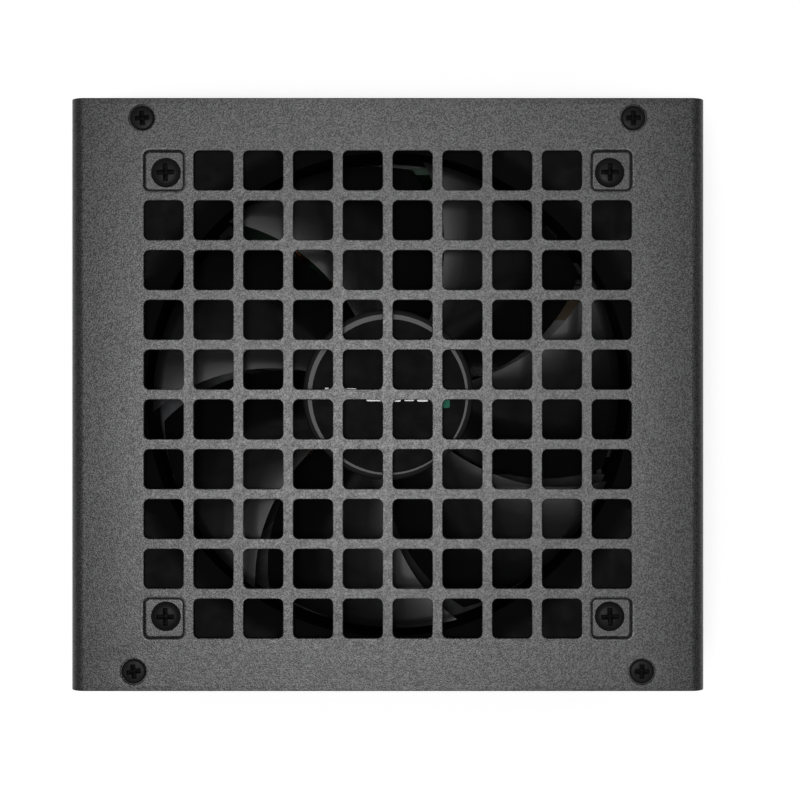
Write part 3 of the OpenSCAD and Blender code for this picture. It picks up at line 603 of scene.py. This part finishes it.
def recess_skin(x, y, top):
    """Sunk corner cell: rolled edge, wall, floor with its screw hole, and the underside."""
    half, r = GRILLE_HOLE / 2, GRILLE_CORNER
    floor = -RECESS_DEPTH
    inside = [(0.72, -0.006), (RECESS_ROLL, -0.006), (0.3, -0.045), (0.15, -0.15), (0.04, -0.31),
              (0, -RECESS_ROLL), (0, floor + 0.4), (-0.1, floor + 0.14), (-0.36, floor)]
    hole = [(3.9, floor), (FAN_HOLE, floor), (FAN_HOLE, floor - SHEET)]
    outside = [(SHEET - UNDERSIDE_ROLL, floor - SHEET), (SHEET, floor - UNDERSIDE_ROLL),
               (SHEET, -SHEET + 0.01)]
    hole_at = (math.copysign(FAN_SCREW_AT, x) - x, math.copysign(FAN_SCREW_AT, y) - y)
    loops = [rounded_square(half + grow, half + grow, r + grow) for grow, drop in inside]
    loops += [rounded_square(radius, radius, radius - 0.001, at=hole_at) for radius, drop in hole]
    loops += [rounded_square(half + grow, half + grow, r + grow) for grow, drop in outside]
    drops = [drop for size, drop in inside + hole + outside]
    lofted = [[(x + p[0], y + p[1], top + drop) for p in loop] for loop, drop in zip(loops, drops)]
    return loft(lofted)


def circle(x, y, r, steps=40):
    return arc(x, y, r, 0, 360 - 360 / steps, steps - 1)


def build_cover():
    """Folded cover with the punched grille and the sunk corner cells."""
    low, high = box_mm("cover_sides")
    flat = high.x - COVER_BEND
    middle = COVER_BEND - SHEET / 2
    drop = high.z - COVER_BEND - low.z
    side, bend, top = ("run", drop), ("bend", middle), ("run", 2 * flat)
    path = BentPath((low.x + SHEET / 2, low.z), 90, [side, bend, top, bend, side])
    centre = path.length / 2
    outline = rounded_square(centre, high.y, 0.6, 2, at=(centre, 0))
    holes = []
    for x, y, corner in grille_cells():
        roll = RECESS_ROLL if corner else 0
        half = GRILLE_HOLE / 2 + roll
        holes.append(rounded_square(half, half, GRILLE_CORNER + roll, at=(centre + x, y)))
    holes += [circle(centre + x, y, COVER_HOLE) for x, y in COVER_SCREWS]
    mesh = cut_sheet("top_cover_sheet", outline, holes, SHEET, PUNCHED_EDGE)
    fold(mesh, path, lambda p, y: (p.x, y, p.y))
    recesses = [recess_skin(x, y, high.z) for x, y, corner in grille_cells() if corner]
    verts, faces = join_parts(recesses)
    bm = bmesh.new()
    bm.from_mesh(mesh)
    added = [bm.verts.new(v) for v in verts]
    for face in faces:
        bm.faces.new([added[i] for i in face])
    bm.to_mesh(mesh)
    bm.free()
    mesh.transform(Matrix.Scale(MM, 4))
    cover = piece_from_mesh("cover_sheet", mesh, "cover", 20)
    stand_for(cover, "casing", "casing_paint", "top_cover", "cover_sides")


# ---------------------------------------------------------------- screws


def phillips_cutter(at, length, width, depth, turn):
    """Tapered cross, as two bars, that cuts a recess downwards from at."""
    parts = []
    for arm in (0, 90):
        a = math.radians(turn + arm)
        ux, uy = Vector((math.cos(a), math.sin(a))), Vector((-math.sin(a), math.cos(a)))
        loops = []
        for drop, reach, thick in ((-0.5, length / 2, width / 2), (0, length / 2, width / 2),
                                   (depth * 0.5, length * 0.42, width * 0.38),
                                   (depth, length * 0.1, width * 0.04)):
            corners = [(reach, thick), (-reach, thick), (-reach, -thick), (reach, -thick)]
            flat = [ux * p + uy * q for p, q in corners]
            loops.append([(at[0] + v.x, at[1] + v.y, at[2] - drop) for v in flat])
        parts.append(loft(loops, True, True))
    return parts


def cut_with(obj, cutters, material):
    """Subtracts each cutter from the object and applies the result."""
    for i, (verts, faces) in enumerate(cutters):
        tool = outward(piece_from(f"cutter_{i}", verts, faces, material))
        cut = obj.modifiers.new("recess", "BOOLEAN")
        cut.operation = "DIFFERENCE"
        cut.solver = "EXACT"
        cut.object = tool
        name, mesh = obj.name, evaluated_mesh(obj)
        bpy.data.objects.remove(tool)
        obj = piece_from_mesh(name, mesh, material, 30)
    return obj


def build_screw(name, at, profile, cross, turn):
    """Screw turned from a profile, with a cross recess (length, width, depth)."""
    verts, faces = lathe(profile, 48, at)
    screw = outward(piece_from(name, verts, faces, "screw"))
    top = (at[0], at[1], at[2] + max(z for r, z in profile))
    screw = cut_with(screw, phillips_cutter(top, *cross, turn), "screw")
    round_edges(screw, 0.07, 2)
    return screw


def build_fan_screws():
    """Pan-head screws that hold the fan."""
    low, high = box_mm("fan_screws")
    seat = high.z - FAN_SCREW_HEAD
    profile = [(0.01, -10), (1.7, -10), (2.1, -9.4), (2.1, 0), (3.5, 0), (3.5, 0.45), (3.38, 0.78),
               (3.0, 1.08), (2.3, 1.30), (1.2, 1.39), (0.01, FAN_SCREW_HEAD)]
    places = [(-1, 1, 2), (1, 1, 0), (-1, -1, 1), (1, -1, 3)]
    for i, (sx, sy, turn) in enumerate(places):
        at = (sx * FAN_SCREW_AT, sy * FAN_SCREW_AT, seat)
        screw = build_screw(f"fan_screw_{i}", at, profile, (4.3, 1.15, 1.9), turn)
        stand_for(screw, "casing", "black_screw", "fan_screws")


def build_cover_screws():
    """Countersunk screws that hold the cover."""
    low, high = box_mm("cover_screws")
    profile = [(0.01, -6.9), (1.1, -6.9), (1.45, -6.3), (1.45, -1.6), (2.15, -0.9), (2.93, -0.42),
               (2.58, -0.04), (2.48, 0), (0.01, 0)]
    turns = (4, 2, 8, 0)
    for i, ((x, y), turn) in enumerate(zip(COVER_SCREWS, turns)):
        screw = build_screw(f"cover_screw_{i}", (x, y, high.z), profile, (3.4, 1.15, 1.7), turn)
        stand_for(screw, "casing", "black_screw", "cover_screws")


# ---------------------------------------------------------------- fan


def blade_surface(r, s, tip, lead_z):
    """Middle of a blade at radius r and fraction s behind its leading edge."""
    beyond = r - LEAD_FROM
    lead = LEAD_ANGLE + LEAD_SLOPE * beyond + LEAD_CURL * beyond ** 2
    wrap = ROOT_WRAP - WRAP_TAPER * (r - BLADE_ROOT) / (tip - BLADE_ROOT)
    a = math.radians(lead - wrap * s)
    return r * math.cos(a), r * math.sin(a), lead_z - BLADE_DROP * s * (0.45 + 0.55 * s)


def blade_loops(tip, lead_z, rows=30, columns=30):
    """Closed sections of one blade from the hub to its tip, where it thins to an edge."""
    root_half, taper = 1.1, 0.5
    loops = []
    for i in range(rows + 1):
        f = i / rows
        r = BLADE_ROOT + (tip - BLADE_ROOT) * f
        half = root_half - taper * f if f < 1 else 0
        upper, lower = [], []
        for k in range(columns + 1):
            s = k / columns
            x, y, z = blade_surface(r, s, tip, lead_z)
            h = half * (0.3 + 0.7 * math.sin(math.pi * s))
            upper.append((x, y, z + h))
            lower.append((x, y, z - h))
        loops.append(upper + lower[::-1])
    return loops


def build_rotor():
    """Hub as one turned cup with a boss for the shaft, and its blades."""
    hub_top = box_mm("fan_label")[0].z
    bottom, inside, boss, bore_end = hub_top - HUB_HEIGHT, hub_top - 2.3, hub_top - 4.5, hub_top - 1.8
    profile = [(0.01, hub_top), (18.6, hub_top), (19.2, hub_top), (20.4, hub_top - 1.15),
               (HUB, hub_top - 1.45), (HUB, bottom), (HUB - HUB_WALL, bottom), (HUB - HUB_WALL, inside),
               (3.2, inside), (3.2, boss), (BORE, boss), (BORE, bore_end), (0.01, bore_end)]
    parts = [lathe(profile, 128)]
    one = blade_loops(tip_radius(), hub_top - 1.5)
    for k in range(BLADES):
        turn = Matrix.Rotation(math.tau * k / BLADES, 3, "Z")
        parts.append(loft([[tuple(turn @ Vector(p)) for p in loop] for loop in one], True, True))
    rotor = outward(piece_from("rotor_moulding", *join_parts(parts), "rotor", 35))
    stand_for(rotor, "rotor", "rotor_plastic", "fan_rotor")


def tip_radius():
    """Radius of the blades' tips, from the CAD rotor."""
    tips = [math.hypot(v.co.x, v.co.y) for v in frame["nodes"]["fan_rotor"].data.vertices]
    return max(tips) / MM


def flat_mark(name, at, half_w, half_h, top, material):
    """Thin printed bar with round ends, standing just proud of the label."""
    loop = rounded_square(half_w, half_h, min(half_w, half_h) * 0.6, 4, at)
    foot, face = ([(x, y, z) for x, y in loop] for z in (top, top + MARK_HEIGHT))
    verts, faces = loft([foot, face], True, True)
    mark = outward(piece_from(name, verts, faces, material))
    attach(mark, "rotor")


def build_label():
    """Dark round label with a generic row of dashes."""
    low, high = box_mm("fan_label")
    cx, cy = (low.x + high.x) / 2, (low.y + high.y) / 2
    r = (high.x - low.x) / 2
    profile = [(0.01, 0), (r - 0.05, 0), (r, 0.04), (r, 0.08), (r - 0.06, 0.13), (0.01, 0.13)]
    verts, faces = lathe(profile, 96, (cx, cy, low.z))
    label = outward(piece_from("hub_label", verts, faces, "label"))
    stand_for(label, "rotor", "label_paper", "fan_label")
    top = low.z + 0.12
    dashes = [(-14.6, 1.05, 0.5), (-12.2, 0.5, 1.1), (-8.9, 0.9, 1.4), (-3.2, -1.0, 1.9),
              (1.6, -1.1, 1.5), (5.1, -0.95, 1.2), (8.3, -1.1, 1.3)]
    for i, (x, y, half) in enumerate(dashes):
        flat_mark(f"label_dash_{i}", (x, y), half, 0.6, top, "mark_white")
    flat_mark("label_dash_green", (13.9, -2.1), 0.9, 1.1, top, "mark_green")


def squared_off(wave, power):
    """A sine or cosine pushed towards its ends, so that a turn hugs a square section."""
    return math.copysign(abs(wave) ** power, wave)


def toroid_coil(name, centre, core, height, radius, gap, start, sweep, turns):
    """Wire of a radius wound round a ring core, with its middle a gap away from the core.

    core is the ring's inner and outer radius, height its lowest and highest z, and the turns are
    spread from start over sweep, in degrees.
    """
    mid_r, half_r = (core[0] + core[1]) / 2, (core[1] - core[0]) / 2 + gap
    mid_z, half_z = (height[0] + height[1]) / 2, (height[1] - height[0]) / 2 + gap
    steps = turns * 20
    path = []
    for i in range(steps + 1):
        a = math.radians(start + sweep * i / steps)
        b = math.tau * turns * i / steps
        r = mid_r + half_r * squared_off(math.cos(b), 0.5)
        z = mid_z + half_z * squared_off(math.sin(b), 0.5)
        path.append((centre[0] + r * math.cos(a), centre[1] + r * math.sin(a), z))
    return wire(name, path, radius, "enamel")


def build_choke_windings():
    """Real turns of wire in place of the windings' solid shapes."""
    low, high = box_mm("main_board")
    mains = [(-48, low.y + 28), (-20, low.y + 28)]
    output = [(-20, high.y - 20), (-50, high.y - 20)]
    coils = [toroid_coil(f"common_mode_coil_{i}_{k}", at, core=(5.25, 10.6), height=(10.4, 19.4),
                         radius=0.6, gap=0.62, start=24 + 180 * k, sweep=132, turns=9)
             for i, at in enumerate(mains) for k in range(2)]
    stand_for(join_objects(coils), "casing", "copper_wire", "common_mode_windings")
    pfc = toroid_coil("pfc_coil", (-13, -6), core=(6.72, 13.6), height=(10.4, 22.4),
                      radius=0.7, gap=0.75, start=124, sweep=302, turns=30)
    stand_for(pfc, "casing", "copper_wire", "pfc_winding")
    coils = [toroid_coil(f"output_coil_{i}", at, core=(5.46, 11.05), height=(10.4, 19.4),
                         radius=0.7, gap=0.75, start=104, sweep=312, turns=22)
             for i, at in enumerate(output)]
    stand_for(join_objects(coils), "casing", "copper_wire", "output_choke_windings")


def build_motor_coils():
    """Wire round each of the stator's four arms: one layer outwards, a second one back."""
    low, high = box_mm("fan_stator_coils")
    mid_z = (low.z + high.z) / 2
    turns, per_turn = 9, 16
    steps = turns * per_turn
    coils = []
    for arm in range(4):
        turn = Matrix.Rotation(math.tau * arm / 4, 3, "Z")
        path = []
        for layer in range(2):
            half_y, half_z = 2.1 + 0.75 * layer, 3.85 + 0.35 * layer
            for i in range(steps + 1):
                b = math.tau * i / per_turn
                x = 7.3 + 3.5 * (i / steps if layer == 0 else 1 - i / steps)
                y = half_y * squared_off(math.cos(b), 0.4)
                z = half_z * squared_off(math.sin(b), 0.4)
                path.append(tuple(turn @ Vector((x, y, mid_z + z))))
        coils.append(wire(f"motor_coil_{arm}", path, 0.2, "enamel"))
    stand_for(join_objects(coils), "casing", "copper_wire", "fan_stator_coils")


# ---------------------------------------------------------------- rocker marks


def rocker_point(x, up, out):
    """Point on the rocker at rest, given across, along and out of its level position."""
    low, high = box_mm("switch_rocker")
    tilt = next(joint for joint in frame["joints"] if joint["name"] == "rocker_tilt")
    centre = Vector(((low.x + high.x) / 2, tilt["pos_m"][1] / MM, tilt["pos_m"][2] / MM))
    turned = Matrix.Rotation(math.radians(ROCKER_TILT), 3, "X") @ Vector((x, -out, up))
    return centre + turned


def mark_on_rocker(name, outer, inner, up):
    """Ring or bar inlaid in one of the rocker's two faces, given as outlines."""
    side = math.copysign(1, up)
    middle = ROCKER_RISE + abs(up) * ROCKER_SLOPE
    under, proud = -0.05, 0.03

    def place(p, lift):
        return tuple(rocker_point(p[0], up + p[1], middle + side * p[1] * ROCKER_SLOPE + lift))

    rim = ((outer, under), (outer, proud), (inner, proud), (inner, under), (outer, under))
    verts, faces = loft([[place(p, lift) for p in loop] for loop, lift in rim])
    mark = outward(piece_from(name, verts, faces, "mark_white"))
    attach(mark, "rocker")


def build_rocker_marks():
    bar = rounded_square(0.3, 1.5, 0.25, 4)
    core = rounded_square(0.05, 1.2, 0.04, 4)
    mark_on_rocker("rocker_on_bar", bar, core, 4.6)
    ring = rounded_square(1.45, 1.45, 1.44, 10)
    hollow = rounded_square(0.95, 0.95, 0.94, 10)
    mark_on_rocker("rocker_off_ring", ring, hollow, -4.6)


# ---------------------------------------------------------------- the frame's own nodes


# CAD nodes that keep their shape: material and the radius of their edges in millimetres
KEPT = {
    "chassis_base": ("chassis", 0.14),
    "fan_frame": ("frame", 0.3),
    "rotor_yoke": ("steel", 0.1),
    "fan_magnet_ring": ("magnet", 0.2),
    "fan_shaft": ("steel", 0.15),
    "fan_bearing": ("bronze", 0.1),
    "fan_stator_core": ("lamination", 0.1),
    "fan_circuit_board": ("board", 0.1),
    "fan_lead": ("black_wire", 0),
    "fan_connector": ("white", 0.2),
    "inlet_housing": ("black", 0.35),
    "inlet_pins": ("contact", 0.3),
    "inlet_screws": ("screw", 0.08),
    "switch_housing": ("black", 0.3),
    "switch_rocker": ("gloss", 0.35),
    "switch_terminals": ("steel", 0.12),
    "live_wire": ("brown_wire", 0),
    "switched_live_wire": ("black_wire", 0),
    "neutral_wire": ("blue_wire", 0),
    "earth_wire": ("green_wire", 0),
    "earth_stud": ("steel", 0.15),
    "main_board": ("board", 0.15),
    "board_standoffs": ("contact", 0.15),
    "board_screws": ("steel", 0.12),
    "insulation_sheet": ("fibre", 0.05),
    "choke_cores": ("powder_core", 0.6),
    "x_capacitors": ("film_case", 0.5),
    "fuse": ("glass", 0.2),
    "inrush_thermistor": ("thermistor", 0.9),
    "bridge_rectifier": ("epoxy", 0.3),
    "rectifier_heatsink": ("heatsink", 0.15),
    "bulk_capacitor": ("black_sleeve", 0.3),
    "primary_heatsink": ("heatsink", 0.15),
    "primary_transistors": ("epoxy", 0.2),
    "transistor_screws": ("steel", 0.25),
    "transformer_core": ("ferrite", 0.4),
    "transformer_winding": ("tape", 0.8),
    "standby_transformer": ("tape", 0.5),
    "secondary_heatsink": ("heatsink", 0.15),
    "secondary_rectifiers": ("epoxy", 0.2),
    "output_capacitors": ("blue_sleeve", 0.2),
    "control_board": ("board", 0.15),
    "socket_board": ("board", 0.15),
    "socket_motherboard": ("black", 0.14),
    "sockets_processor_graphics": ("black", 0.14),
    "sockets_drives": ("black", 0.14),
    "socket_contacts": ("contact", 0.1),
    "busbars": ("copper", 0.2),
    "air_guide_film": ("film", 0.05),
    "film_rivets": ("white", 0.3),
}


def finish_kept_nodes():
    """Gives the CAD nodes that keep their shape a material and softened edges."""
    for node, (material, edge) in KEPT.items():
        obj = frame["nodes"][node]
        obj.data.materials.clear()
        obj.data.materials.append(MATERIALS[material])
        smooth(obj, 32)
        if edge:
            round_edges(obj, edge)


# ---------------------------------------------------------------- stage


def area_light(name, at, towards, size, power):
    """Round soft light."""
    light = bpy.data.lights.new(name, "AREA")
    light.shape = "DISK"
    light.size = size
    light.energy = power
    obj = bpy.data.objects.new(name, light)
    obj.location = at
    obj.rotation_euler = (Vector(towards) - Vector(at)).to_track_quat("-Z", "Y").to_euler()
    bpy.context.scene.collection.objects.link(obj)


def build_floor():
    """Pale sheet of a light table: it glows around the object, so the ground reads as white."""
    floor_white = (0.84, 0.84, 0.84)
    mat = new_material("light_table", floor_white, 0.9, Emission_Color=(1, 1, 1, 1))
    where = coords(mat)
    fine = noise(mat, where, 400, 2.0)
    set_colour(mat, blend_colours(mat, fine, 0.3, 0.7, shade(floor_white, 0.99), floor_white))
    distance = add_node(mat, "ShaderNodeVectorMath")
    distance.operation = "LENGTH"
    join(mat, where, distance.inputs[0])
    join(mat, spread(mat, distance.outputs["Value"], 0.17, 1.2, 0.46, 0.26),
         shader_of(mat).inputs["Emission Strength"])
    MATERIALS["floor"] = mat
    reach, level = 2500, cad_low.z / MM - 0.05
    corners = [(-reach, -reach), (reach, -reach), (reach, reach), (-reach, reach)]
    floor = piece_from("floor", [(x, y, level) for x, y in corners], [(0, 1, 2, 3)], "floor")


def build_world():
    """Studio walls: pale near the horizon, dim overhead where the lights are."""
    world = bpy.data.worlds.new("studio")
    bpy.context.scene.world = world
    world.use_nodes = True
    sky = world.node_tree.nodes["Background"]
    sky.inputs["Color"].default_value = (1, 1, 1, 1)
    direction = add_node(world, "ShaderNodeTexCoord")
    height = add_node(world, "ShaderNodeSeparateXYZ")
    join(world, direction.outputs["Generated"], height.inputs["Vector"])
    join(world, spread(world, height.outputs["Z"], 0.08, 0.5, 0.4, 0.04), sky.inputs["Strength"])


def build_camera():
    """Looks straight down on the fan side, a little off its centre."""
    lens = bpy.data.cameras.new("camera")
    lens.sensor_width = 36
    lens.lens = 76.3
    lens.clip_start = 0.01
    camera = bpy.data.objects.new("camera", lens)
    camera.location = (0.0029, -0.0013, cad_high.z + 0.4)
    bpy.context.scene.collection.objects.link(camera)
    bpy.context.scene.camera = camera


def build_stage():
    """Floor, studio walls, a small key light and a wide soft one, both overhead."""
    build_floor()
    build_world()
    top = cad_high.z
    area_light("key", (-0.03, -0.02, top + 0.75), (0, 0, top), 0.16, 3.15)
    area_light("overhead_softbox", (0, 0, top + 1.0), (0, 0, top), 1.0, 2.8)
    bpy.context.scene.view_settings.view_transform = "Standard"


build_camera()
finish_kept_nodes()
build_cover()
build_fan_screws()
build_cover_screws()
build_rotor()
build_label()
build_choke_windings()
build_motor_coils()
build_rocker_marks()
build_stage()
